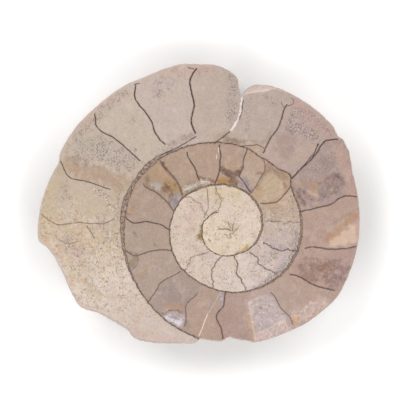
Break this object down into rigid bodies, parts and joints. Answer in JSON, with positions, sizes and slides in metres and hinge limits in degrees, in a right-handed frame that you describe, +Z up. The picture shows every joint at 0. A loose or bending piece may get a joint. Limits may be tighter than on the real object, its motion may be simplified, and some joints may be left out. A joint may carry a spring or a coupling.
{
  "type": "ammonite fossil",
  "caption": "Sawn and polished half of a coiled ammonite: a flat face showing chambers, septa and spiral walls, over a natural coiled flank with an open umbilicus.",
  "frame": {"origin": "under the middle of the fossil's bounding box, on the surface that it rests on", "axes": "+Z is up, out of the flat polished face; +X is along the fossil's longest side, away from the old living chamber; +Y points to the side with the crack's notch"},
  "size_m": [0.1512, 0.1314, 0.024],
  "materials": {
    "stone": "satin"
  },
  "bodies": {
    "root": {"ammonite": "stone"}
  },
  "joints": []
}
